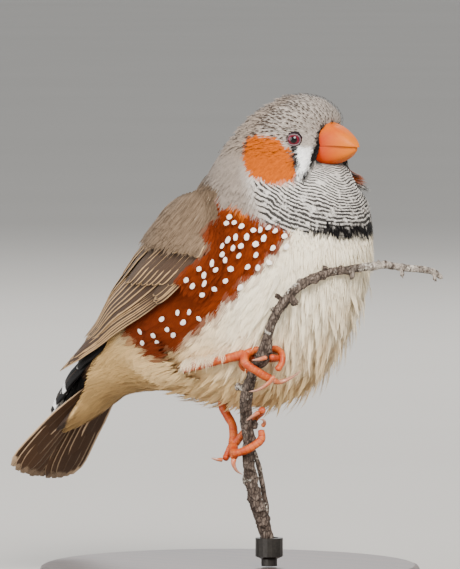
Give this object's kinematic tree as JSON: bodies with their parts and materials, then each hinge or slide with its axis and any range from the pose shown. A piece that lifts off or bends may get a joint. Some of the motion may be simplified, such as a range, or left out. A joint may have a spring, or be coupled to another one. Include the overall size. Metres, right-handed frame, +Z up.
{
  "type": "zebra finch on a twig",
  "caption": "Life-size still model of a male zebra finch gripping a cut, near-upright twig on a plain round display stand.",
  "frame": {"origin": "middle of the underside of the stand's round base", "axes": "+Z up, the bird faces +X, its left side is +Y"},
  "size_m": [0.0888, 0.072, 0.0939],
  "materials": {
    "head_plumage": "matte soft grey feathers",
    "neck_plumage": "matte soft grey feathers with fine dark bars",
    "body_plumage": "matte soft cream feathers, chestnut and white-spotted on the flanks",
    "wing_feathers": "satin brown feathers with pale edges",
    "tail_feathers": "satin dark brown feathers",
    "bill": "smooth satin orange-red horn",
    "eye": "wet gloss, dark red with a black pupil",
    "leg_skin": "scaled orange skin",
    "claw": "smooth pinkish horn",
    "bark": "rough grey-brown bark with pale lichen",
    "stand": "dark satin lacquer"
  },
  "bodies": {
    "root": {"bill_lower": "bill", "bill_upper": "bill", "claw_l_hind": "claw", "claw_l_inner": "claw", "claw_l_middle": "claw", "claw_l_outer": "claw", "claw_r_hind": "claw", "claw_r_inner": "claw", "claw_r_middle": "claw", "claw_r_outer": "claw", "eye_l": "eye", "eye_r": "eye", "head": "head_plumage", "leg_l": "leg_skin", "leg_r": "leg_skin", "neck": "neck_plumage", "perch_twig": "bark", "stand_base": "stand", "stand_rod": "stand", "tail": "tail_feathers", "torso": "body_plumage", "wing_l": "wing_feathers", "wing_r": "wing_feathers"}
  },
  "joints": []
}
